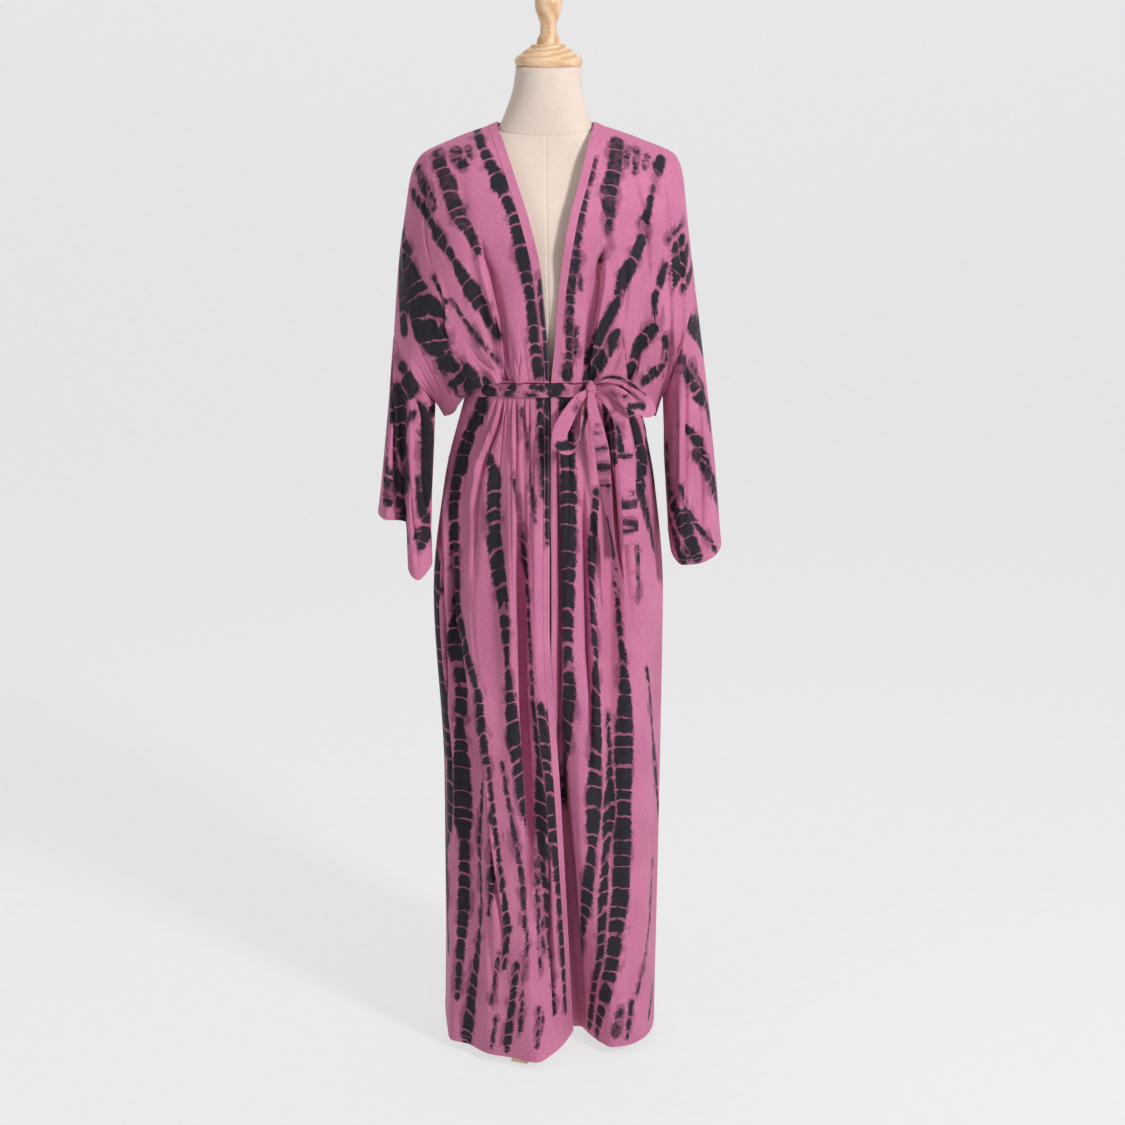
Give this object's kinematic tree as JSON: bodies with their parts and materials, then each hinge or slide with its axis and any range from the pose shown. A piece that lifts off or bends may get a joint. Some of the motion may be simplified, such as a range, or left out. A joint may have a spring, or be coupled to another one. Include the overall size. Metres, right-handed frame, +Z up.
{
  "type": "kimono cover-up on a dress form",
  "caption": "Long open kimono cover-up with wide sleeves and a waist belt tied in a bow, worn by a limbless linen dress form on a turned wooden stand.",
  "frame": {"origin": "on the floor, at the middle of the whole part seen from above", "axes": "+Z up along the stand, -Y the garment's front, +X the garment's left as worn"},
  "size_m": [0.5174, 0.3003, 1.612],
  "materials": {
    "cloth": "soft woven viscose, tie-dyed dark stripes on mauve pink",
    "linen": "plain-woven natural linen cover",
    "wood": "light turned wood, satin clear coat"
  },
  "bodies": {
    "root": {"front_right": "cloth", "front_left": "cloth", "front_band_right": "cloth", "front_band_left": "cloth", "neck_band": "cloth", "back": "cloth", "sleeve_right": "cloth", "sleeve_left": "cloth", "belt": "cloth", "belt_knot": "cloth", "belt_loop_low": "cloth", "belt_loop_high": "cloth", "belt_tail_front": "cloth", "belt_tail_back": "cloth", "dress_form": "linen", "neck_cap": "wood", "post": "wood", "leg_front": "wood", "leg_left": "wood", "leg_right": "wood"}
  },
  "joints": []
}
